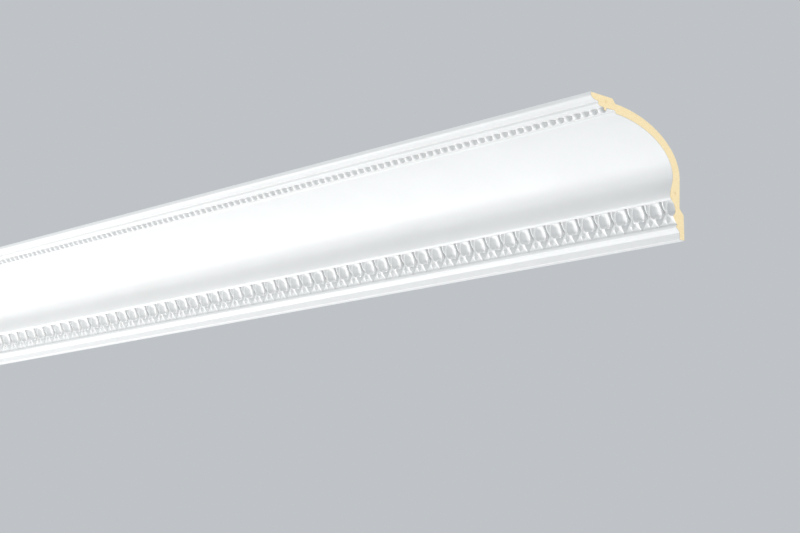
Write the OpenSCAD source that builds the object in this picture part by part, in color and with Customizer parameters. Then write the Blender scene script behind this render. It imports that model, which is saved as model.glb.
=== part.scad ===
// Enriched cornice moulding: one cast length for the corner of a wall and a ceiling.
// X runs along the length, +Y points into the wall, +Z points up.
// The origin is the middle of the flat strip that is fixed to the wall.
// Profile points are [d, h]: d is the distance out from the wall, h the drop below the ceiling.

/* [Overall] */
// Length of the cut piece
length = 1363; // [200:1:2000]
// Drop of the moulding down the wall
height = 135; // [112:1:200]
// Reach of the moulding across the ceiling
projection = 155; // [125:1:220]
// Thickness of the casting above the cove
shell = 11; // [7:0.5:14]

/* [Contact strips] */
// Height of the flat strip against the wall
wall_strip = 27; // [15:0.5:36]
// Width of the flat strip against the ceiling
ceiling_strip = 35; // [22:0.5:42]
// Nearest approach of the hollow back to the wall
back_gap = 5.2; // [3:0.1:6.5]

/* [Crown] */
// Height of the plain edge at the ceiling
nose_h = 3.2; // [1:0.1:6]
// Reach of the upper quarter round
upper_round_w = 11.3; // [6:0.1:16]
// Drop of the upper quarter round
upper_round_h = 4.9; // [2:0.1:8]
// Height of the fillet between the two quarter rounds
fillet_h = 2.3; // [0.5:0.1:4]
// Reach of the lower quarter round
lower_round_w = 6.4; // [3:0.1:10]
// Drop of the lower quarter round
lower_round_h = 2.6; // [1:0.1:6]
// Width of the flat soffit that carries the pearls
soffit_w = 21.5; // [15:0.1:30]
// Radius of the bead that closes the soffit towards the cove
soffit_bead_r = 3; // [1:0.1:5]

/* [Pearls] */
// Radius of a pearl
pearl_r = 4.7; // [2:0.1:5.2]
// Distance from one pearl to the next
pearl_pitch = 11.385; // [9:0.005:20]
// Distance from the front edge of the soffit to the middle of the pearls
pearl_inset = 5; // [4.5:0.1:12]
// Drop of the pearls' centres below the soffit
pearl_drop = 0.7; // [0:0.1:2]
// Distance from the right-hand cut to the middle of the first pearl
pearl_start = 4.3; // [0.5:0.1:12]

/* [Cove] */
// Distance from the wall to the deepest point of the cove
cove_back = 18; // [15:0.5:30]
// How far the centre of the cove's ellipse lies in front of its upper edge
cove_lead = 6; // [1:0.5:12]
// Height of the swelling below the cove
swell_h = 23.4; // [15:0.1:30]
// Reach of the swelling beyond the deepest point of the cove
swell_w = 5.8; // [3:0.1:8]
// Radius of the nose that closes the swelling
swell_nose_r = 3.3; // [2:0.1:4]

/* [Leaf frieze] */
// Height of the frieze
frieze_h = 26.9; // [26:0.1:34]
// Distance from the wall to the ground of the frieze at its top
frieze_back = 17; // [13:0.1:18]
// Distance from the wall to the ground of the frieze at its foot
frieze_foot_back = 12.6; // [11.5:0.1:14]
// Distance from one leaf to the next
leaf_pitch = 23.5; // [19:0.05:32]
// Distance from the right-hand cut to the first whole leaf's axis
leaf_start = 22.9; // [12:0.1:30]
// Gap between the shoulders of two leaves
shoulder_gap = 4; // [1.5:0.1:6]
// Gap between the tops of two leaves
top_gap = 8.5; // [6:0.1:9]
// Drop from the top of the frieze to the shoulders of a leaf
shoulder_drop = 12; // [10:0.1:13]
// Drop from the top of the frieze to the tip of a leaf
tip_drop = 24.6; // [22:0.1:25.2]
// Height of the leaves above their ground
leaf_relief = 3; // [2:0.1:3.4]
// Width of the rim between a leaf's hollow and its edge
rim_w = 1.2; // [0.8:0.1:1.6]
// Depth of the hollow in a leaf
hollow_depth = 2.6; // [0.5:0.1:3.5]
// Drop from the top of the frieze to the upper edge of the hollow
hollow_start = 0.8; // [0.5:0.1:2]
// Drop from the top of the frieze to the lower edge of the hollow
hollow_end = 16.2; // [14:0.1:16.5]
// Height of the darts above their ground
dart_relief = 2.4; // [1:0.1:3]
// Width of a dart at its broadest
dart_w = 5.6; // [2:0.1:6]
// Width of a dart where the leaves' shoulders pass it
dart_stem_w = 1.6; // [0.5:0.1:2]

/* [Foot] */
// Height of the fillet under the frieze
foot_fillet_h = 2.7; // [1:0.1:4]
// Distance from the wall to the face of that fillet
foot_fillet_d = 14.5; // [14:0.1:18]
// Drop of the hollow between the fillet and the foot
foot_hollow_h = 4.9; // [3:0.1:7]
// How far that hollow is bowed in
foot_hollow_bow = 0.7; // [0.2:0.1:1.5]
// Height of the foot
foot_h = 7.8; // [5:0.1:12]
// Thickness of the foot
foot_d = 8.8; // [6:0.1:11]
// Radius of the foot's lower edge
foot_edge_r = 1; // [0.5:0.1:2]

/* [Hidden] */

COVE_STEPS = 22;         // straight pieces in the cove, and in the back behind it
ROUND_STEPS = 6;         // straight pieces in a quarter round
EASE_STEPS = 4;          // straight pieces in a short curve
FILLET_SET = 0.2;        // how far the fillet stands back from the upper quarter round
STEP_RUN = 6;            // width of the eased step beside the ceiling strip
STEP_RISE = 9;           // height of the eased step beside the wall strip
BACK_SLOPE = 1.8;        // how much the back draws away from the wall on its way down
ROOT = 1;                // how deep each carving is rooted in the casting
LEAF_BOW = 1.2;          // how far a leaf's edges are bowed out

// levels: drops below the ceiling
upper_round_end = nose_h + upper_round_h;
lower_round_start = upper_round_end + fillet_h;
soffit_level = lower_round_start + lower_round_h;
cove_top = soffit_level + soffit_bead_r;
foot_top = height - foot_h;
foot_fillet_end = foot_top - foot_hollow_h;
frieze_foot = foot_fillet_end - foot_fillet_h;
frieze_top = frieze_foot - frieze_h;
swell_end = frieze_top - swell_nose_r;
cove_level = swell_end - swell_h;
strip_top = height - wall_strip;

// distances out from the wall
crown_edge = projection - upper_round_w;
fillet_d = crown_edge - FILLET_SET;
soffit_front = fillet_d - lower_round_w;
soffit_back = soffit_front - soffit_w;
cove_front = soffit_back - soffit_bead_r;
cove_centre = cove_front + cove_lead;
strip_edge = projection - ceiling_strip;

// half axes of the cove's ellipse and of the back's, which share one centre
cove_a = cove_centre - cove_back;
cove_start = asin(cove_lead / cove_a);
cove_b = (cove_level - cove_top) / cos(cove_start);
back_a = cove_centre - back_gap;
back_b = cove_b + shell;
back_end = asin((cove_centre - strip_edge + STEP_RUN) / back_a);
back_end_level = cove_level - back_b * cos(back_end);

// sizes of a leaf and its hollow
leaf_w = leaf_pitch - shoulder_gap;
leaf_top_w = leaf_pitch - top_gap;
hollow_w = leaf_w - 2 * rim_w;
hollow_top_w = leaf_top_w - 2 * rim_w;

// slope of the frieze's ground
frieze_tilt = atan((frieze_back - frieze_foot_back) / frieze_h);

// counts of the repeats, with those that the cuts pass through
pearl_count = ceil((length - pearl_start + pearl_r) / pearl_pitch);
leaf_count = ceil((length - leaf_start) / leaf_pitch);

// height of the ceiling above the origin
ceiling_z = height - wall_strip / 2;

// Arc of an ellipse about c from angle a0 to angle a1
function arc(c, rx, ry, a0, a1, n) =
    [for (i = [0 : n]) let (a = a0 + (a1 - a0) * i / n) c + [rx * cos(a), ry * sin(a)]];

// Curve from p to q, bowed sideways by sag at its middle, to the left of its way
function bow(p, q, sag, n) =
    let (run = q - p, side = [-run[1], run[0]] / norm(run))
    [for (i = [0 : n]) let (t = i / n) p + run * t + side * sag * 4 * t * (1 - t)];

// Eased step from p to q that leaves p and meets q along the second coordinate
function ease(p, q, n) =
    [for (i = [0 : n]) let (t = i / n)
        [p[0] + (q[0] - p[0]) * (1 - cos(180 * t)) / 2, p[1] + (q[1] - p[1]) * t]];

// Front of the profile, from the ceiling edge down to the foot
function crown_points() = concat(
    [[projection, 0]],
    arc([crown_edge, nose_h], upper_round_w, upper_round_h, 0, 90, ROUND_STEPS),
    [[fillet_d, upper_round_end]],
    arc([soffit_front, lower_round_start], lower_round_w, lower_round_h, 0, 90, ROUND_STEPS),
    arc([cove_front, soffit_level], soffit_bead_r, soffit_bead_r, 0, 90, EASE_STEPS));

function cove_points() =
    [for (i = [1 : COVE_STEPS]) let (a = cove_start + (90 - cove_start) * i / COVE_STEPS)
        [cove_centre - cove_a * sin(a), cove_level - cove_b * cos(a)]];

function lower_points() = concat(
    ease([cove_back, cove_level], [cove_back + swell_w, swell_end], ROUND_STEPS),
    arc([cove_back + swell_w - swell_nose_r, swell_end], swell_nose_r, swell_nose_r, 0, 90, ROUND_STEPS),
    [[frieze_back, frieze_top], [frieze_foot_back, frieze_foot], [foot_fillet_d, frieze_foot]],
    bow([foot_fillet_d, foot_fillet_end], [foot_d, foot_top], -foot_hollow_bow, EASE_STEPS),
    arc([foot_d - foot_edge_r, height - foot_edge_r], foot_edge_r, foot_edge_r, 0, 90, EASE_STEPS));

// Back of the profile, from the foot up to the ceiling
function back_points() = concat(
    [[0, height]],
    ease([0, strip_top], [back_gap + BACK_SLOPE, strip_top - STEP_RISE], EASE_STEPS),
    [for (i = [0 : COVE_STEPS]) let (a = 90 + (back_end - 90) * i / COVE_STEPS)
        [cove_centre - back_a * sin(a), cove_level - back_b * cos(a)]],
    [for (i = [1 : EASE_STEPS]) let (t = i / EASE_STEPS)
        [strip_edge - STEP_RUN * (1 - t), back_end_level * (1 + cos(180 * t)) / 2]]);

// Puts a drawing of [d, h] points upright across the length
module run_along_length() {
    translate([-length / 2, 0, ceiling_z])
        rotate([90, 0, 90])
            linear_extrude(length)
                scale([-1, -1]) children();
}

// Puts a drawing on the sloping ground of the frieze: x along the length, y up from the frieze's top
module carve_on_frieze(x, base, relief) {
    translate([x, -frieze_back, ceiling_z - frieze_top])
        rotate([90 + frieze_tilt, 0, 0])
            translate([0, 0, base])
                linear_extrude(relief - base) children();
}

// Outline of a leaf: rooted above, broad at the shoulders, pointed below
module leaf_outline() {
    half = concat(
        bow([0, -tip_drop], [leaf_w / 2, -shoulder_drop], -LEAF_BOW, EASE_STEPS),
        bow([leaf_w / 2, -shoulder_drop], [leaf_top_w / 2, ROOT], -LEAF_BOW, EASE_STEPS));
    polygon(half);
    mirror([1, 0]) polygon(half);
    polygon([[0, -tip_drop], [leaf_top_w / 2, ROOT], [-leaf_top_w / 2, ROOT]]);
}

// Outline of a leaf's hollow: straight sides above, rounded below
module hollow_outline() {
    middle = 1 - shoulder_drop;
    right = concat(
        arc([0, middle], hollow_w / 2, hollow_end + middle, -90, 0, ROUND_STEPS),
        [[hollow_top_w / 2, -hollow_start]]);
    left = [for (i = [len(right) - 1 : -1 : 1]) [-right[i][0], right[i][1]]];
    polygon(concat(right, left));
}

// Outline of a dart: an oval above the leaves' shoulders and an arrowhead below them
module dart_outline() {
    right = [[dart_w / 2, -shoulder_drop / 3], [dart_stem_w / 2, 2 - shoulder_drop],
        [dart_stem_w / 2, -shoulder_drop - 2], [dart_w / 2, -shoulder_drop - 6]];
    left = [for (i = [len(right) - 1 : -1 : 0]) [-right[i][0], right[i][1]]];
    polygon(concat([[0, -1]], right, [[0, 1 - tip_drop]], left));
}

// The moulded length without its carving
module body() {
    run_along_length()
        polygon(concat(crown_points(), cove_points(), lower_points(), back_points()));
}

// Row of pearls under the crown
module pearls() {
    for (i = [0 : pearl_count - 1])
        translate([length / 2 - pearl_start - i * pearl_pitch, -soffit_front + pearl_inset,
                ceiling_z - soffit_level - pearl_drop])
            sphere(pearl_r, $fn = 48);
}

// Hollowed leaves, and a dart between each two of them
module leaves() {
    for (i = [-1 : leaf_count]) {
        x = length / 2 - leaf_start - i * leaf_pitch;
        difference() {
            carve_on_frieze(x, -ROOT, leaf_relief) leaf_outline();
            carve_on_frieze(x, leaf_relief - hollow_depth, leaf_relief + ROOT) hollow_outline();
        }
        carve_on_frieze(x - leaf_pitch / 2, -ROOT, dart_relief) dart_outline();
    }
}

// Everything between the two square cuts
module between_cuts() {
    intersection() {
        children();
        translate([-length / 2, -projection, ceiling_z - height]) cube([length, projection, height]);
    }
}

module cornice() {
    color("white") {
        body();
        between_cuts() {
            pearls();
        }
        between_cuts() {
            leaves();
        }
    }
}

cornice();
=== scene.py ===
"""Cornice moulding length: the finished look of one cast length, built round its CAD frame.

The casting is worked out in millimetres: x runs along the length from its middle, d is the distance
out from the wall and h the drop below the ceiling. Setting.place turns such a point into the frame's
metres. The casting is one section swept along x, with a row of pearls under its crown and a frieze of
shells, leaf tips and darts above its foot. Both ends are sawn square and show the foam.
"""

import logging
import math
from collections.abc import Callable
from dataclasses import dataclass, field
from enum import Enum

import bmesh
import bpy
from mathutils import Matrix, Vector

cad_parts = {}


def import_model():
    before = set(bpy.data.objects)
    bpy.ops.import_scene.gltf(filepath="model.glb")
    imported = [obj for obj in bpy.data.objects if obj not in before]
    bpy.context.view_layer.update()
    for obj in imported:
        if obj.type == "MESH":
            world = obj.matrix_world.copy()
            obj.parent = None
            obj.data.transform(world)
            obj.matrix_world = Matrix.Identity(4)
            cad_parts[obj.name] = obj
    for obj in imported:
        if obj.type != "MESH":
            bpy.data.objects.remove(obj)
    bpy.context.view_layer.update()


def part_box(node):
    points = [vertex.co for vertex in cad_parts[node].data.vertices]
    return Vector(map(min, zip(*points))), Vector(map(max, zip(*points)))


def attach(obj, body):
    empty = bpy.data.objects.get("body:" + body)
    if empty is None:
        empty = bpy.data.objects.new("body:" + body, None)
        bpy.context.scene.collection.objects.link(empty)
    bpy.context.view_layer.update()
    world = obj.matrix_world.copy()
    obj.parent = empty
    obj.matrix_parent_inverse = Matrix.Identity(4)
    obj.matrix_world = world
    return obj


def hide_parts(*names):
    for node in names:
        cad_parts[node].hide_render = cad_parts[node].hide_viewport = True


LOG = logging.getLogger("cornice")
MM = 0.001
HAIR = 0.02  # mm between sawn faces that would otherwise lie in one plane
CORNER_WELD = 1e-3  # mm within which two corners of the section are one
RING_WELD = 1e-4  # mm within which two points of a loft are one
SAW_WELD = 1e-5  # mm within which a point lies on a saw cut
SHARPEST = 0.5  # least cosine of half a corner's turn that an inset outline follows
NODE = "cornice"
BODY = "root"
Point2 = tuple[float, float]
Point3 = tuple[float, float, float]
Value = Callable[[float], float]  # a width or a distance that changes with the drop


class End(Enum):
    """The two sawn ends of the length, by the sign of x that they face."""

    LEFT = -1
    RIGHT = 1


# ---------------------------------------------------------------------------------------------
# small helpers


def linear(hex_colour: str) -> tuple[float, float, float, float]:
    """Turns an sRGB hex colour into the linear colour that a shader wants.

    Args:
        hex_colour: six hex digits, such as "F4F3F0".

    Returns:
        Red, green, blue and an alpha of 1.
    """
    channels = [int(hex_colour[i : i + 2], 16) / 255 for i in (0, 2, 4)]
    lin = [c / 12.92 if c <= 0.04045 else ((c + 0.055) / 1.055) ** 2.4 for c in channels]
    return (lin[0], lin[1], lin[2], 1.0)


def quarter(centre: Point2, half_d: float, half_h: float, steps: int) -> list[Point2]:
    """A quarter of an ellipse, from its outermost point round to its lowest.

    Args:
        centre: middle of the ellipse, as (d, h).
        half_d: half axis along d.
        half_h: half axis along h.
        steps: number of straight pieces.

    Returns:
        The points, with both ends.
    """
    turns = [math.radians(90 * i / steps) for i in range(steps + 1)]
    return [(centre[0] + half_d * math.cos(a), centre[1] + half_h * math.sin(a)) for a in turns]


def eased(start: Point2, end: Point2, steps: int) -> list[Point2]:
    """A soft step between two points, which leaves and arrives along h.

    Args:
        start: first point.
        end: last point.
        steps: number of straight pieces.

    Returns:
        The points, with both ends.
    """
    points = []
    for i in range(steps + 1):
        share = i / steps
        d = start[0] + (end[0] - start[0]) * (1 - math.cos(math.pi * share)) / 2
        points.append((d, start[1] + (end[1] - start[1]) * share))
    return points


def through(stations: tuple[Point2, ...]) -> Value:
    """A smooth curve through a few stations, for a width or a height that changes along the drop.

    Args:
        stations: pairs of place and value, in rising order of place.

    Returns:
        A function of the place, constant beyond the first and last station.
    """
    places = [s[0] for s in stations]
    values = [s[1] for s in stations]
    last = len(stations) - 1
    slopes = []
    for i in range(last + 1):
        a, b = max(i - 1, 0), min(i + 1, last)
        slopes.append((values[b] - values[a]) / (places[b] - places[a]))

    def value(place: float) -> float:
        """The curve's value at a place.

        Args:
            place: where along the drop.

        Returns:
            The value there.
        """
        if place <= places[0]:
            return values[0]
        if place >= places[-1]:
            return values[-1]
        i = max(k for k in range(last) if places[k] <= place)
        run = places[i + 1] - places[i]
        t = (place - places[i]) / run
        return (
            values[i] * (1 + 2 * t) * (1 - t) ** 2
            + slopes[i] * run * t * (1 - t) ** 2
            + values[i + 1] * t * t * (3 - 2 * t)
            + slopes[i + 1] * run * t * t * (t - 1)
        )

    return value


# ---------------------------------------------------------------------------------------------
# setting and section


@dataclass
class Setting:
    """The CAD box that the casting fills, and the way from a casting's millimetres to it."""

    low: Vector
    high: Vector

    @property
    def length(self) -> float:
        """Length of the piece in mm."""
        return (self.high.x - self.low.x) / MM

    @property
    def height(self) -> float:
        """Drop down the wall in mm."""
        return (self.high.z - self.low.z) / MM

    @property
    def projection(self) -> float:
        """Reach across the ceiling in mm."""
        return (self.high.y - self.low.y) / MM

    def place(self, x: float, d: float, h: float) -> Vector:
        """Turns a casting point into the frame.

        Args:
            x: distance along the length from its middle, in mm.
            d: distance out from the wall, in mm.
            h: drop below the ceiling, in mm.

        Returns:
            The point in metres.
        """
        middle = (self.low.x + self.high.x) / 2
        return Vector((middle + x * MM, self.high.y - d * MM, self.high.z - h * MM))


@dataclass
class Section:
    """The moulding's section, in mm: crown, cove, swelling, bed of the frieze, foot and hollow back."""

    height: float
    projection: float
    shell: float = 11.0
    wall_strip: float = 27.0
    ceiling_strip: float = 35.0
    back_gap: float = 5.2
    nose_h: float = 3.2
    upper_round_w: float = 11.3
    upper_round_h: float = 4.9
    fillet_h: float = 2.3
    fillet_set: float = 0.2
    lower_round_w: float = 6.4
    lower_round_h: float = 2.6
    soffit_w: float = 21.5
    soffit_bead_r: float = 3.0
    cove_back: float = 18.0
    cove_lead: float = 6.0
    swell_h: float = 23.4
    swell_w: float = 5.8
    swell_nose_r: float = 3.3
    frieze_h: float = 26.9
    bed_stations: tuple[Point2, ...] = (
        (0.0, 19.0), (3.0, 17.4), (6.0, 16.0), (9.0, 15.0),
        (12.0, 14.5), (18.0, 14.3), (21.0, 13.6), (26.9, 12.9),
    )
    foot_fillet_h: float = 2.7
    foot_fillet_d: float = 14.5
    foot_hollow_h: float = 4.9
    foot_hollow_bow: float = 0.7
    foot_h: float = 7.8
    foot_d: float = 8.8
    foot_edge_r: float = 1.0
    step_run: float = 6.0
    step_rise: float = 9.0
    back_slope: float = 1.8
    cove_steps: int = 72
    round_steps: int = 14
    small_steps: int = 8
    crown_heart: Point2 = (13.0, 6.2)
    swell_heart: Point2 = (3.5, 5.0)

    def __post_init__(self) -> None:
        """Works out the levels below the ceiling and the distances from the wall."""
        self.upper_round_end = self.nose_h + self.upper_round_h
        self.lower_round_start = self.upper_round_end + self.fillet_h
        self.soffit_level = self.lower_round_start + self.lower_round_h
        self.cove_top = self.soffit_level + self.soffit_bead_r
        self.foot_top = self.height - self.foot_h
        self.foot_fillet_end = self.foot_top - self.foot_hollow_h
        self.frieze_foot = self.foot_fillet_end - self.foot_fillet_h
        self.frieze_top = self.frieze_foot - self.frieze_h
        self.swell_end = self.frieze_top - self.swell_nose_r
        self.cove_level = self.swell_end - self.swell_h
        self.strip_top = self.height - self.wall_strip
        self.crown_edge = self.projection - self.upper_round_w
        self.fillet_d = self.crown_edge - self.fillet_set
        self.soffit_front = self.fillet_d - self.lower_round_w
        self.cove_front = self.soffit_front - self.soffit_w - self.soffit_bead_r
        self.cove_centre = self.cove_front + self.cove_lead
        self.cove_half_d = self.cove_centre - self.cove_back
        self.cove_start = math.asin(self.cove_lead / self.cove_half_d)
        self.cove_half_h = (self.cove_level - self.cove_top) / math.cos(self.cove_start)
        self.strip_edge = self.projection - self.ceiling_strip

    def bed(self, drop: float) -> float:
        """Distance from the wall to the frieze's bed, at a drop below the frieze's top."""
        return through(self.bed_stations)(drop)

    def hearts(self) -> list[Point2]:
        """Where the foam is denser, in the thick parts behind the crown and the swelling.

        Returns:
            Two points (d, h).
        """
        crown = (self.crown_edge - self.crown_heart[0], self.crown_heart[1])
        swell = (self.cove_back - self.swell_heart[0], self.swell_end - self.swell_heart[1])
        return [crown, swell]

    def cove(self, half_d: float, half_h: float, start: float) -> list[Point2]:
        """A part of a quarter ellipse about the cove's centre.

        Args:
            half_d: half axis along d.
            half_h: half axis along h.
            start: angle from the vertical at which it starts, in degrees.

        Returns:
            Points from the ceiling side down to the level of the centre.
        """
        points = []
        for i in range(self.cove_steps + 1):
            turn = math.radians(start + (90 - start) * i / self.cove_steps)
            d = self.cove_centre - half_d * math.sin(turn)
            points.append((d, self.cove_level - half_h * math.cos(turn)))
        return points

    def crown(self) -> list[Point2]:
        """The ceiling edge, two quarter rounds with a fillet between them, the soffit and its bead.

        Returns:
            Points from the ceiling down to the bead.
        """
        upper_at = (self.crown_edge, self.nose_h)
        lower_at = (self.soffit_front, self.lower_round_start)
        bead_at = (self.cove_front, self.soffit_level)
        return [
            (self.projection, 0.0),
            *quarter(upper_at, self.upper_round_w, self.upper_round_h, self.round_steps),
            (self.fillet_d, self.upper_round_end),
            *quarter(lower_at, self.lower_round_w, self.lower_round_h, self.round_steps),
            *quarter(bead_at, self.soffit_bead_r, self.soffit_bead_r, self.small_steps),
        ]

    def swelling(self) -> list[Point2]:
        """The swelling below the cove, out to the nose that closes it.

        Returns:
            Points from just below the cove's end down to the frieze's top.
        """
        swell_d = self.cove_back + self.swell_w
        nose_at = (swell_d - self.swell_nose_r, self.swell_end)
        rise = eased((self.cove_back, self.cove_level), (swell_d, self.swell_end), self.round_steps)
        nose = quarter(nose_at, self.swell_nose_r, self.swell_nose_r, self.small_steps)
        return [*rise[1:], *nose[1:]]

    def foot(self) -> list[Point2]:
        """The fillet under the frieze, the bowed hollow and the plain foot.

        Returns:
            Points from the frieze's foot down to the casting's lower edge.
        """
        run_d = self.foot_d - self.foot_fillet_d
        run_h = self.foot_top - self.foot_fillet_end
        run = math.hypot(run_d, run_h)
        points = [(self.foot_fillet_d, self.frieze_foot)]
        for i in range(self.small_steps + 1):
            share = i / self.small_steps
            sag = self.foot_hollow_bow * 4 * share * (1 - share)
            d = self.foot_fillet_d + run_d * share - run_h / run * sag
            points.append((d, self.foot_fillet_end + run_h * share + run_d / run * sag))
        edge_at = (self.foot_d - self.foot_edge_r, self.height - self.foot_edge_r)
        return points + quarter(edge_at, self.foot_edge_r, self.foot_edge_r, self.small_steps)

    def front(self) -> list[Point2]:
        """The side that is seen.

        Returns:
            Points from the ceiling edge down to the foot.
        """
        cove = self.cove(self.cove_half_d, self.cove_half_h, math.degrees(self.cove_start))
        drops = [self.frieze_h * i / self.round_steps for i in range(self.round_steps + 1)]
        bed = [(self.bed(drop), self.frieze_top + drop) for drop in drops]
        return [*self.crown(), *cove[1:], *self.swelling(), *bed, *self.foot()]

    def back(self) -> list[Point2]:
        """The side against the room's corner.

        Returns:
            Points from the foot up to the ceiling.
        """
        half_d = self.cove_centre - self.back_gap
        half_h = self.cove_half_h + self.shell
        end = math.asin((self.cove_centre - self.strip_edge + self.step_run) / half_d)
        rise = self.cove(half_d, half_h, math.degrees(end))[::-1]
        level = rise[-1][1]
        step_foot = (self.back_gap + self.back_slope, self.strip_top - self.step_rise)
        points = [(0.0, self.height), *eased((0.0, self.strip_top), step_foot, self.small_steps), *rise]
        for i in range(1, self.small_steps + 1):
            share = i / self.small_steps
            h = level * (1 + math.cos(math.pi * share)) / 2
            points.append((self.strip_edge - self.step_run * (1 - share), h))
        return points

    def outline(self, inset: float = 0.0) -> list[Point2]:
        """The whole section as one closed outline.

        Args:
            inset: how far it is drawn in.

        Returns:
            Its corners, each once.
        """
        corners = self.front() + self.back()
        corners = [c for i, c in enumerate(corners) if math.dist(c, corners[i - 1]) > CORNER_WELD]
        drawn = []
        for i, (d, h) in enumerate(corners):
            before, after = corners[i - 1], corners[(i + 1) % len(corners)]
            into = Vector((d - before[0], h - before[1])).normalized()
            out = Vector((after[0] - d, after[1] - h)).normalized()
            side = Vector((-into.y - out.y, into.x + out.x)).normalized()
            reach = inset / max(side.dot(Vector((-out.y, out.x))), SHARPEST)
            drawn.append((d + side.x * reach, h + side.y * reach))
        return drawn


# ---------------------------------------------------------------------------------------------
# carving


def lay_ring(bm: bmesh.types.BMesh, points: list[Point3]) -> list[bmesh.types.BMEdge]:
    """Lays one closed ring of edges.

    Args:
        bm: mesh that takes the ring.
        points: corners of the ring, in order.

    Returns:
        The ring's edges.
    """
    corners = [bm.verts.new(p) for p in points]
    return [bm.edges.new((corners[i - 1], corners[i])) for i in range(len(corners))]


def loft(rings: list[list[Point3]]) -> bpy.types.Mesh:
    """Bridges rings into one closed island, with a face over the rooted ring and a ridge for the last.

    Args:
        rings: rings of equally many points, from the rooted one to the ridge or crease.

    Returns:
        The island as a mesh in mm, with x along the length, y as d and z as the drop.
    """
    bm = bmesh.new()
    laid = [lay_ring(bm, ring) for ring in rings]
    for outer, inner in zip(laid, laid[1:]):
        bmesh.ops.bridge_loops(bm, edges=outer + inner)
    bmesh.ops.contextual_create(bm, geom=laid[0])
    bmesh.ops.remove_doubles(bm, verts=bm.verts, dist=RING_WELD)
    bmesh.ops.recalc_face_normals(bm, faces=bm.faces)
    mesh = bpy.data.meshes.new("island")
    bm.to_mesh(mesh)
    bm.free()
    return mesh


@dataclass
class Outline:
    """An outline about an upright axis, given by its half width at each drop."""

    top: float
    bottom: float
    half: Value
    core: Point2 = (0.0, 1.0)
    top_round: float = 0.7
    bottom_round: float = 0.7
    sides: int = 14

    def ring(self, depth: Value, shrink: float = 0.0, flare: float = 0.0) -> list[Point3]:
        """Points round the outline, or round a smaller one inside it.

        Args:
            depth: distance from the wall at each drop.
            shrink: share of the way in towards the core, a stretch of the axis.
            flare: how far the ring lies outside the outline.

        Returns:
            Points (u, d, drop) down the right side and up the left.
        """
        right = []
        for i in range(self.sides + 1):
            turn = math.pi * i / self.sides
            share = (1 - math.cos(turn)) / 2
            whole = self.top + (self.bottom - self.top) * share
            cored = self.core[0] + (self.core[1] - self.core[0]) * share
            drop = whole + (cored - whole) * shrink - math.cos(turn) * flare
            rounding = math.sin(turn) ** (self.top_round if share < 0.5 else self.bottom_round)
            half = self.half(whole) * rounding * (1 - shrink) + flare * math.sin(turn)
            right.append((half, drop))
        points = right + [(-u, drop) for u, drop in reversed(right[1:-1])]
        return [(u, depth(drop), drop) for u, drop in points]


@dataclass
class Shell:
    """A U-shaped shell with a raised rim, hollowed to a crease down its middle."""

    top: float = -2.5
    top_half: float = 7.0
    broad_half: float = 8.9
    broad_drop: float = 12.5
    bottom: float = 17.4
    top_round: float = 0.25
    bottom_round: float = 0.45
    crest_stations: tuple[Point2, ...] = ((0.0, 21.2), (3.0, 20.7), (8.0, 19.3), (13.0, 18.0), (17.4, 17.4))
    rim: float = 0.9
    rim_fall: float = 0.5
    rim_turn: float = 0.35
    wall_run: float = 0.5
    depth_stations: tuple[Point2, ...] = ((0.6, 3.6), (8.0, 3.5), (13.3, 3.1), (16.5, 2.6))
    hollow_top: float = 0.6
    hollow_top_round: float = 0.45
    hollow_bottom_round: float = 0.4
    hollow_rings: tuple[Point2, ...] = ((0.06, 0.12), (0.76, 0.93), (1.0, 1.0))
    crease: Point2 = (4.5, 14.6)
    root: float = 1.2

    def outlines(self) -> tuple[Outline, Outline]:
        """The shell's outline and that of its hollow, a rim's width inside it.

        Returns:
            Both outlines.
        """
        edge = ((0.0, self.top_half), (self.broad_drop, self.broad_half), (self.bottom, self.broad_half))
        outer = Outline(
            top=self.top,
            bottom=self.bottom,
            half=through(edge),
            top_round=self.top_round,
            bottom_round=self.bottom_round,
        )
        hollow = Outline(
            top=self.hollow_top,
            bottom=self.bottom - self.rim,
            half=through(tuple((drop, half - self.rim) for drop, half in edge)),
            core=self.crease,
            top_round=self.hollow_top_round,
            bottom_round=self.hollow_bottom_round,
        )
        return outer, hollow

    def rings(self, bed: Value) -> list[list[Point3]]:
        """Rings from the bed, over the rim and down into the hollow.

        Args:
            bed: distance from the wall to the frieze's bed at each drop.

        Returns:
            The rings, for loft.
        """
        crest = through(self.crest_stations)
        depth = through(self.depth_stations)
        outer, hollow = self.outlines()
        rings = [
            outer.ring(lambda v: bed(v) - self.root, flare=self.wall_run),
            outer.ring(lambda v: crest(v) - self.rim_fall),
            outer.ring(crest, flare=-self.rim_turn),
            hollow.ring(crest),
        ]
        for shrink, sunk in self.hollow_rings:
            rings.append(hollow.ring(lambda v, sunk=sunk: crest(v) - depth(v) * sunk, shrink=shrink))
        return rings


@dataclass
class Ridged:
    """A pointed ornament that rises from its edge to a ridge along its axis."""

    half_stations: tuple[Point2, ...]
    ridge_stations: tuple[Point2, ...]
    fall: float
    top_round: float = 0.3
    ridge_set: float = 0.1
    edge_lift: float = 0.05
    rise_shares: Point2 = (0.5, 1.0)
    root: float = 1.2

    def rings(self, bed: Value) -> list[list[Point3]]:
        """Rings from the bed up to the ridge.

        Args:
            bed: distance from the wall to the frieze's bed at each drop.

        Returns:
            The rings, for loft.
        """
        half = through(self.half_stations)
        ridge = through(self.ridge_stations)
        top, bottom = self.half_stations[0][0], self.half_stations[-1][0]
        core = (top + self.ridge_set, bottom - self.ridge_set)
        outline = Outline(top, bottom, half, core, self.top_round, bottom_round=0.0)

        def edge(drop: float) -> float:
            """Distance from the wall to the ornament's edge."""
            return max(ridge(drop) - self.fall * half(drop), bed(drop) + self.edge_lift)

        rings = [outline.ring(lambda v: bed(v) - self.root), outline.ring(edge)]
        for share in self.rise_shares:
            rings.append(
                outline.ring(lambda v, share=share: edge(v) + (ridge(v) - edge(v)) * share, shrink=share)
            )
        return rings


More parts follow.
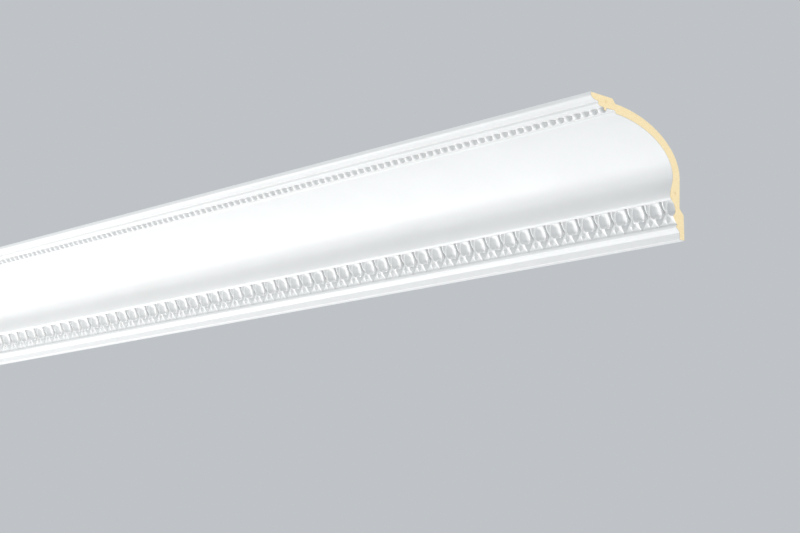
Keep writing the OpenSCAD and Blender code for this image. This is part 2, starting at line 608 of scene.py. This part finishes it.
def leaf_tip() -> Ridged:
    """The leaf whose shoulders and keeled tip show below a shell."""
    return Ridged(
        half_stations=((12.6, 8.0), (14.9, 8.3), (18.0, 6.5), (22.0, 3.8), (24.6, 1.2), (25.2, 0.0)),
        ridge_stations=(
            (12.6, 14.5), (15.5, 17.0), (17.4, 18.9), (18.5, 18.8),
            (20.0, 18.0), (22.0, 16.5), (25.2, 13.8),
        ),
        fall=0.72,
    )


def dart() -> Ridged:
    """The dart between two shells: a drop above their shoulders, a waist and an arrowhead below."""
    return Ridged(
        half_stations=(
            (-2.0, 5.4), (1.5, 6.0), (3.1, 5.9), (6.0, 4.4), (8.5, 2.6), (10.5, 1.1),
            (12.5, 0.4), (17.6, 0.5), (18.3, 3.9), (21.2, 3.4), (24.3, 0.0),
        ),
        ridge_stations=(
            (-2.0, 20.6), (3.0, 20.8), (6.0, 19.8), (8.5, 18.4), (10.5, 17.0),
            (12.5, 15.1), (17.6, 14.9), (18.3, 15.7), (21.2, 15.6), (24.3, 13.3),
        ),
        fall=0.62,
    )


@dataclass
class Row:
    """A run of like carvings along the length."""

    pitch: float
    start: float

    def places(self, length: float, reach: float) -> list[float]:
        """Where each carving's axis stands, with those that the saw cuts through.

        Args:
            length: length of the piece in mm.
            reach: how far a carving reaches from its axis.

        Returns:
            Places along x from the middle of the length, from the right-hand end.
        """
        first = -math.floor((self.start + reach) / self.pitch)
        last = math.floor((length - self.start + reach) / self.pitch)
        return [length / 2 - self.start - self.pitch * i for i in range(first, last + 1)]


def reached(places: list[float], reach: float, low: float, high: float) -> list[float]:
    """The places whose carving reaches into the stretch between two cuts.

    Args:
        places: places along x.
        reach: how far a carving reaches from its axis.
        low: left cut.
        high: right cut.

    Returns:
        The places that are kept.
    """
    return [x for x in places if low < x + reach and x - reach < high]


def repeat(bm: bmesh.types.BMesh, mesh: bpy.types.Mesh, places: list[float]) -> int:
    """Copies an island to each place along the length, and removes the pattern it was copied from.

    Args:
        bm: mesh in mm that takes the copies.
        mesh: the island, about x = 0.
        places: where the copies go.

    Returns:
        Number of copies.
    """
    at = 0.0
    for x in places:
        mesh.transform(Matrix.Translation((x - at, 0, 0)))
        at = x
        bm.from_mesh(mesh)
    bpy.data.meshes.remove(mesh)
    return len(places)


def saw_square(bm: bmesh.types.BMesh, low: float, high: float) -> None:
    """Saws everything off square at both cuts and closes what is opened.

    Args:
        bm: mesh in mm that is sawn.
        low: left cut.
        high: right cut.
    """
    for x, side in ((low, -1), (high, 1)):
        geometry = bm.verts[:] + bm.edges[:] + bm.faces[:]
        cut = {"plane_co": (x, 0, 0), "plane_no": (side, 0, 0)}
        bmesh.ops.bisect_plane(bm, geom=geometry, dist=SAW_WELD, clear_outer=True, **cut)
        open_edges = [e for e in bm.edges if e.is_boundary]
        if open_edges:
            bmesh.ops.holes_fill(bm, edges=open_edges, sides=0)


def add_sawn(
    bm: bmesh.types.BMesh,
    mesh: bpy.types.Mesh,
    places: list[float],
    low: float,
    high: float,
) -> int:
    """Adds copies of an island, sawn off square at both cuts.

    Args:
        bm: mesh in mm that takes the copies.
        mesh: the island, about x = 0; it is removed.
        places: where the copies go.
        low: left cut.
        high: right cut.

    Returns:
        Number of copies.
    """
    part = bmesh.new()
    count = repeat(part, mesh, places)
    saw_square(part, low, high)
    sawn = bpy.data.meshes.new("sawn")
    part.to_mesh(sawn)
    part.free()
    bm.from_mesh(sawn)
    bpy.data.meshes.remove(sawn)
    return count


@dataclass
class Pearls:
    """The row of pearls under the crown."""

    section: Section
    radius: float = 4.7
    inset: float = 5.0
    drop: float = 0.7
    row: Row = field(default_factory=lambda: Row(pitch=11.385, start=4.3))
    segments: int = 20
    rings: int = 14

    def carve(self, bm: bmesh.types.BMesh, length: float, low: float, high: float) -> int:
        """Adds each pearl that lies between two cuts.

        Args:
            bm: mesh in mm that takes the pearls.
            length: length of the piece.
            low: left cut.
            high: right cut.

        Returns:
            Number of pearls.
        """
        ball = bmesh.new()
        d = self.section.soffit_front - self.inset
        h = self.section.soffit_level + self.drop
        bmesh.ops.create_uvsphere(
            ball,
            u_segments=self.segments,
            v_segments=self.rings,
            radius=self.radius,
            matrix=Matrix.Translation((0, d, h)) @ Matrix.Rotation(math.pi / 2, 4, "Y"),
        )
        mesh = bpy.data.meshes.new("pearl")
        ball.to_mesh(mesh)
        ball.free()
        places = reached(self.row.places(length, self.radius), self.radius, low, high)
        return add_sawn(bm, mesh, places, low + HAIR, high - HAIR)


@dataclass
class Frieze:
    """The band of shells, leaf tips and darts above the foot."""

    section: Section
    shell: Shell = field(default_factory=Shell)
    tip: Ridged = field(default_factory=leaf_tip)
    dart: Ridged = field(default_factory=dart)
    row: Row = field(default_factory=lambda: Row(pitch=23.5, start=0.2))
    reach: float = 12.5

    def carve(self, bm: bmesh.types.BMesh, length: float, low: float, high: float) -> int:
        """Adds each shell, leaf tip and dart that lies between two cuts.

        Args:
            bm: mesh in mm that takes the carving.
            length: length of the piece.
            low: left cut.
            high: right cut.

        Returns:
            Number of carvings.
        """
        half_pitch = self.row.pitch / 2
        carvings = ((self.shell, 0.0), (self.tip, 0.0), (self.dart, half_pitch))
        count = 0
        for index, (carving, shift) in enumerate(carvings):
            mesh = loft(carving.rings(self.section.bed))
            mesh.transform(Matrix.Translation((0, 0, self.section.frieze_top)))
            axes = [x + shift for x in self.row.places(length, self.reach + half_pitch)]
            axes = reached(axes, self.reach, low, high)
            back = HAIR * index
            count += add_sawn(bm, mesh, axes, low + back, high - back)
        return count


# ---------------------------------------------------------------------------------------------
# finishes


@dataclass(frozen=True)
class Finish:
    """What every finish shares: a material, its shader and the way a node is added."""

    name: str

    def begin(self) -> tuple[bpy.types.Material, bpy.types.NodeTree, bpy.types.Node]:
        """Makes the material.

        Returns:
            The material, its node tree and its Principled shader.
        """
        material = bpy.data.materials.new(self.name)
        material.use_nodes = True
        return material, material.node_tree, material.node_tree.nodes["Principled BSDF"]


def add(
    tree: bpy.types.NodeTree,
    kind: str,
    settings: dict[str, object] | None = None,
    **links: object,
) -> bpy.types.Node:
    """Adds one node to a tree.

    Args:
        tree: the tree.
        kind: the node's type name.
        settings: properties of the node.
        **links: for each input, a value or an output socket to link. The input is given by its name, with
            _ for a space, or as i and its number.

    Returns:
        The node.
    """
    node = tree.nodes.new(kind)
    for key, value in (settings or {}).items():
        setattr(node, key, value)
    for key, value in links.items():
        numbered = key.startswith("i") and key[1:].isdigit()
        socket = node.inputs[int(key[1:]) if numbered else key.replace("_", " ")]
        if isinstance(value, bpy.types.NodeSocket):
            tree.links.new(value, socket)
        else:
            socket.default_value = value
    return node


@dataclass(frozen=True)
class PrimedSkin(Finish):
    """Factory primer, sprayed thinly on the dense skin of moulded polyurethane.

    It looks a soft white with a low sheen.
    """

    name: str = "white_primer_on_polyurethane"
    colour: str = "F3F3F2"
    worn: str = "ECECEA"
    roughness: float = 0.52
    smoother: float = 0.05
    rougher: float = 0.07
    specular: float = 0.35
    pebble_mm: float = 2.2
    pebble_depth_mm: float = 0.05
    pebble_strength: float = 0.25
    cloud_mm: float = 90.0

    def make(self) -> bpy.types.Material:
        """Builds the material: a faint pebble from the spray, and slow clouds of thick and thin primer.

        Returns:
            The material.
        """
        material, tree, shader = self.begin()
        place = add(tree, "ShaderNodeTexCoord").outputs["Object"]
        wide, fine = 1 / (self.cloud_mm * MM), 1 / (self.pebble_mm * MM)
        cloud = add(tree, "ShaderNodeTexNoise", Vector=place, Scale=wide, Detail=3.0, Roughness=0.6)
        pebble = add(tree, "ShaderNodeTexNoise", Vector=place, Scale=fine, Detail=2.0, Roughness=0.5)
        tint = add(tree, "ShaderNodeMix", {"data_type": "RGBA"}, Factor=cloud.outputs["Fac"])
        tint.inputs["A"].default_value = linear(self.colour)
        tint.inputs["B"].default_value = linear(self.worn)
        tree.links.new(tint.outputs["Result"], shader.inputs["Base Color"])
        sheen = add(tree, "ShaderNodeMapRange", Value=cloud.outputs["Fac"])
        sheen.inputs["To Min"].default_value = self.roughness - self.smoother
        sheen.inputs["To Max"].default_value = self.roughness + self.rougher
        tree.links.new(sheen.outputs["Result"], shader.inputs["Roughness"])
        bump = add(tree, "ShaderNodeBump", Height=pebble.outputs["Fac"], Strength=self.pebble_strength)
        bump.inputs["Distance"].default_value = self.pebble_depth_mm * MM
        tree.links.new(bump.outputs["Normal"], shader.inputs["Normal"])
        shader.inputs["Specular IOR Level"].default_value = self.specular
        return material


@dataclass(frozen=True)
class SawnFoam(Finish):
    """Rigid polyurethane foam, sawn across.

    It looks cream and dull, with fine open cells whose pits are painted darker as shade, and denser hearts
    in its thick parts.
    """

    name: str = "sawn_polyurethane_foam"
    colour: str = "F5E2B8"
    # painted shade: the darker colour painted into the cells' pits
    pit_shade_colour: str = "E6CE9C"
    heart_colour: str = "E4CC9C"
    roughness: float = 0.9
    specular: float = 0.15
    cell_mm: float = 0.9
    cell_walls: Point2 = (0.15, 0.7)
    pit_depth_mm: float = 0.12
    pit_strength: float = 0.5
    grain_mm: float = 6.0
    grain_share: float = 0.6
    heart_mm: Point2 = (0.3, 3.2)
    hearts: tuple[Point3, ...] = ()

    def make(self) -> bpy.types.Material:
        """Builds the material: cells as small pits with painted shade in them, a broad uneven grain, and
        the darker hearts.

        Returns:
            The material.
        """
        material, tree, shader = self.begin()
        place = add(tree, "ShaderNodeTexCoord").outputs["Object"]
        cells = add(tree, "ShaderNodeTexVoronoi", Vector=place, Scale=1 / (self.cell_mm * MM))
        grain = add(tree, "ShaderNodeTexNoise", Vector=place, Scale=1 / (self.grain_mm * MM), Detail=3.0)
        pits = add(tree, "ShaderNodeMapRange", Value=cells.outputs["Distance"])
        pits.inputs["From Min"].default_value = self.cell_walls[0]
        pits.inputs["From Max"].default_value = self.cell_walls[1]
        # painted shade: the pits that the bump sinks are also painted darker in the colour
        tint = add(tree, "ShaderNodeMix", {"data_type": "RGBA"}, Factor=pits.outputs["Result"])
        tint.inputs["A"].default_value = linear(self.pit_shade_colour)
        tint.inputs["B"].default_value = linear(self.colour)
        colour = tint.outputs["Result"]
        for heart in self.hearts:
            away = add(tree, "ShaderNodeVectorMath", {"operation": "SUBTRACT"}, i0=place, i1=heart)
            flat = add(tree, "ShaderNodeVectorMath", {"operation": "MULTIPLY"}, i0=away.outputs[0])
            flat.inputs[1].default_value = (0, 1, 1)
            reach = add(tree, "ShaderNodeVectorMath", {"operation": "LENGTH"}, i0=flat.outputs[0])
            near = add(tree, "ShaderNodeMapRange", {"interpolation_type": "SMOOTHSTEP"})
            tree.links.new(reach.outputs["Value"], near.inputs["Value"])
            near.inputs["From Min"].default_value = self.heart_mm[0] * MM
            near.inputs["From Max"].default_value = self.heart_mm[1] * MM
            near.inputs["To Min"].default_value = 1.0
            near.inputs["To Max"].default_value = 0.0
            dark = add(tree, "ShaderNodeMix", {"data_type": "RGBA"}, Factor=near.outputs["Result"])
            tree.links.new(colour, dark.inputs["A"])
            dark.inputs["B"].default_value = linear(self.heart_colour)
            colour = dark.outputs["Result"]
        tree.links.new(colour, shader.inputs["Base Color"])
        height = add(tree, "ShaderNodeMath", {"operation": "MULTIPLY_ADD"}, i0=grain.outputs["Fac"])
        height.inputs[1].default_value = self.grain_share
        tree.links.new(pits.outputs["Result"], height.inputs[2])
        bump = add(tree, "ShaderNodeBump", Height=height.outputs[0], Strength=self.pit_strength)
        bump.inputs["Distance"].default_value = self.pit_depth_mm * MM
        tree.links.new(bump.outputs["Normal"], shader.inputs["Normal"])
        shader.inputs["Roughness"].default_value = self.roughness
        shader.inputs["Specular IOR Level"].default_value = self.specular
        return material


@dataclass(frozen=True)
class PaleFloor(Finish):
    """Sealed pale screed: an even light grey with soft clouds."""

    name: str = "pale_screed"
    colour: str = "D9DADB"
    cloud_colour: str = "D2D3D5"
    roughness: float = 0.8

    def make(self) -> bpy.types.Material:
        """Builds the material.

        Returns:
            The material.
        """
        material, tree, shader = self.begin()
        place = add(tree, "ShaderNodeTexCoord").outputs["Object"]
        cloud = add(tree, "ShaderNodeTexNoise", Vector=place, Scale=2.0, Detail=4.0)
        tint = add(tree, "ShaderNodeMix", {"data_type": "RGBA"}, Factor=cloud.outputs["Fac"])
        tint.inputs["A"].default_value = linear(self.colour)
        tint.inputs["B"].default_value = linear(self.cloud_colour)
        tree.links.new(tint.outputs["Result"], shader.inputs["Base Color"])
        shader.inputs["Roughness"].default_value = self.roughness
        return material


# ---------------------------------------------------------------------------------------------
# pieces


@dataclass
class Casting:
    """One cast length: the swept section with its pearls and its frieze, and its sawn ends."""

    setting: Setting
    section: Section
    skin: bpy.types.Material
    foam: bpy.types.Material
    saw_set: float = 0.15
    foam_slice: float = 0.5
    foam_set: float = 3 * HAIR
    skin_mm: float = 0.35
    crease: float = 22.0

    def __post_init__(self) -> None:
        """Sets up the carving on the section."""
        self.pearls = Pearls(self.section)
        self.frieze = Frieze(self.section)

    def sweep(self, bm: bmesh.types.BMesh, low: float, high: float, inset: float) -> None:
        """Sweeps the section between two cuts.

        Args:
            bm: mesh in mm that takes the sweep.
            low: left cut.
            high: right cut.
            inset: how far the section is drawn in, for the foam inside its skin.
        """
        start = bm.faces.new([bm.verts.new((low, d, h)) for d, h in self.section.outline(inset)])
        run = bmesh.ops.extrude_face_region(bm, geom=[start], use_keep_orig=True)
        moved = [g for g in run["geom"] if isinstance(g, bmesh.types.BMVert)]
        bmesh.ops.translate(bm, vec=(high - low, 0, 0), verts=moved)

    def finish(self, bm: bmesh.types.BMesh, name: str, material: bpy.types.Material) -> bpy.types.Object:
        """Turns a mesh in mm into a piece in the frame, smooth but for its creases.

        Args:
            bm: the mesh; it is freed.
            name: name of the piece.
            material: its finish.

        Returns:
            The piece, riding on the body.
        """
        for vert in bm.verts:
            vert.co = self.setting.place(*vert.co)
        bmesh.ops.recalc_face_normals(bm, faces=bm.faces)
        limit = math.radians(self.crease)
        for face in bm.faces:
            face.smooth = True
        for edge in bm.edges:
            edge.smooth = len(edge.link_faces) == 2 and edge.calc_face_angle(0.0) < limit
        mesh = bpy.data.meshes.new(name)
        bm.to_mesh(mesh)
        bm.free()
        mesh.materials.append(material)
        piece = bpy.data.objects.new(name, mesh)
        bpy.context.scene.collection.objects.link(piece)
        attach(piece, BODY)
        triangles = sum(len(p.vertices) - 2 for p in mesh.polygons)
        LOG.info("%s: %d triangles", name, triangles)
        return piece

    def build(self) -> list[bpy.types.Object]:
        """Builds the casting and both sawn ends.

        Returns:
            The pieces.
        """
        length = self.setting.length
        half = length / 2 - self.saw_set
        bm = bmesh.new()
        pearls = self.pearls.carve(bm, length, -half, half)
        carvings = self.frieze.carve(bm, length, -half, half)
        self.sweep(bm, -half, half, 0)
        LOG.info("casting: %d pearls, %d carvings", pearls, carvings)
        casting = self.finish(bm, "cornice_casting", self.skin)
        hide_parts(NODE)
        pieces = [casting]
        for end in End:
            low, high = sorted((end.value * (length / 2 - self.foam_slice), end.value * length / 2))
            bm = bmesh.new()
            self.pearls.carve(bm, length, low, high)
            self.frieze.carve(bm, length, low, high)
            self.sweep(bm, low + self.foam_set, high - self.foam_set, self.skin_mm)
            face = self.finish(bm, f"sawn_end_{end.name.lower()}", self.foam)
            pieces.append(face)
        return pieces


@dataclass(frozen=True)
class Lamp:
    """One soft square light: its name, its place and side in metres, and its power in watts."""

    name: str
    at: Point3
    size: float
    power: float


@dataclass
class Studio:
    """Floor, light and camera, in metres."""

    setting: Setting
    camera_at: Point3 = (1.80996, -1.55878, -0.41864)
    camera_forward: Point3 = (-0.6946, 0.6925, 0.1947)
    lens: float = 81.0
    sensor: float = 36.0
    floor_half: float = 9.0
    floor_drop: float = 3.4
    surround: str = "BFC3C7"
    light_colour: str = "FFFFFF"
    aim: Point3 = (0.0, 60.0, 70.0)
    lamps: tuple[Lamp, ...] = (
        Lamp("key", (-3.6, -1.7, -2.9), 1.4, 190.0),
        Lamp("from_below", (0.3, -0.5, -2.2), 2.0, 9.0),
        Lamp("front_fill", (-1.2, -2.9, 1.4), 2.4, 15.0),
        Lamp("rear_fill", (0.8, 2.6, 2.0), 2.0, 60.0),
    )
    end_lamp: Lamp = Lamp("end_light", (3.0, -0.6, 0.2), 1.0, 32.0)

    def floor(self) -> None:
        """A wide pale floor, a room's height below."""
        bm = bmesh.new()
        bmesh.ops.create_grid(bm, x_segments=4, y_segments=4, size=self.floor_half)
        bmesh.ops.translate(bm, vec=(0, 0, -self.floor_drop), verts=bm.verts)
        mesh = bpy.data.meshes.new("floor")
        bm.to_mesh(mesh)
        bm.free()
        mesh.materials.append(PaleFloor().make())
        floor = bpy.data.objects.new("floor", mesh)
        bpy.context.scene.collection.objects.link(floor)

    def backdrop(self) -> None:
        """An even grey surround, which also lights the casting softly."""
        world = bpy.data.worlds.new("surround")
        world.use_nodes = True
        shader = world.node_tree.nodes["Background"]
        shader.inputs["Color"].default_value = linear(self.surround)
        shader.inputs["Strength"].default_value = 1.0
        bpy.context.scene.world = world

    def light(self, lamp: Lamp) -> bpy.types.Object:
        """Adds one soft square light, which faces the casting.

        Args:
            lamp: what it is and where it stands.

        Returns:
            The light.
        """
        data = bpy.data.lights.new(lamp.name, "AREA")
        data.size = lamp.size
        data.energy = lamp.power
        data.color = linear(self.light_colour)[:3]
        light = bpy.data.objects.new(lamp.name, data)
        light.location = lamp.at
        ray = self.setting.place(*self.aim) - Vector(lamp.at)
        light.rotation_euler = ray.to_track_quat("-Z", "Y").to_euler()
        bpy.context.scene.collection.objects.link(light)
        return light

    def end_lights(self, sawn: list[bpy.types.Object]) -> None:
        """Lights the sawn ends alone, from beyond each of them.

        Args:
            sawn: the sawn ends.
        """
        collection = bpy.data.collections.new("sawn_ends")
        for piece in sawn:
            collection.objects.link(piece)
        x, y, z = self.end_lamp.at
        for end in End:
            name = f"{self.end_lamp.name}_{end.name.lower()}"
            lamp = Lamp(name, (end.value * x, y, z), self.end_lamp.size, self.end_lamp.power)
            self.light(lamp).light_linking.receiver_collection = collection

    def camera(self) -> None:
        """Adds the camera and looks through it."""
        data = bpy.data.cameras.new("camera")
        data.lens = self.lens
        data.sensor_width = self.sensor
        camera = bpy.data.objects.new("camera", data)
        camera.location = self.camera_at
        camera.rotation_euler = Vector(self.camera_forward).to_track_quat("-Z", "Y").to_euler()
        bpy.context.scene.collection.objects.link(camera)
        bpy.context.scene.camera = camera

    def build(self, sawn: list[bpy.types.Object]) -> None:
        """Builds the floor, the surround, the lights and the camera.

        Args:
            sawn: the sawn ends, which take an extra light from beyond them.
        """
        bpy.context.scene.view_settings.view_transform = "Standard"
        self.floor()
        self.backdrop()
        for lamp in self.lamps:
            self.light(lamp)
        self.end_lights(sawn)
        self.camera()


def main() -> None:
    """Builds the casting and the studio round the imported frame."""
    logging.basicConfig(level=logging.INFO, format="%(message)s")
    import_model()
    setting = Setting(*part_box(NODE))
    section = Section(height=setting.height, projection=setting.projection)
    hearts = tuple(tuple(setting.place(0, d, h)) for d, h in section.hearts())
    casting = Casting(setting, section, PrimedSkin().make(), SawnFoam(hearts=hearts).make())
    pieces = casting.build()
    Studio(setting).build(sawn=pieces[1:])
    for piece in pieces:
        LOG.info("built %s", piece.name)


if __name__ == "__main__":
    main()
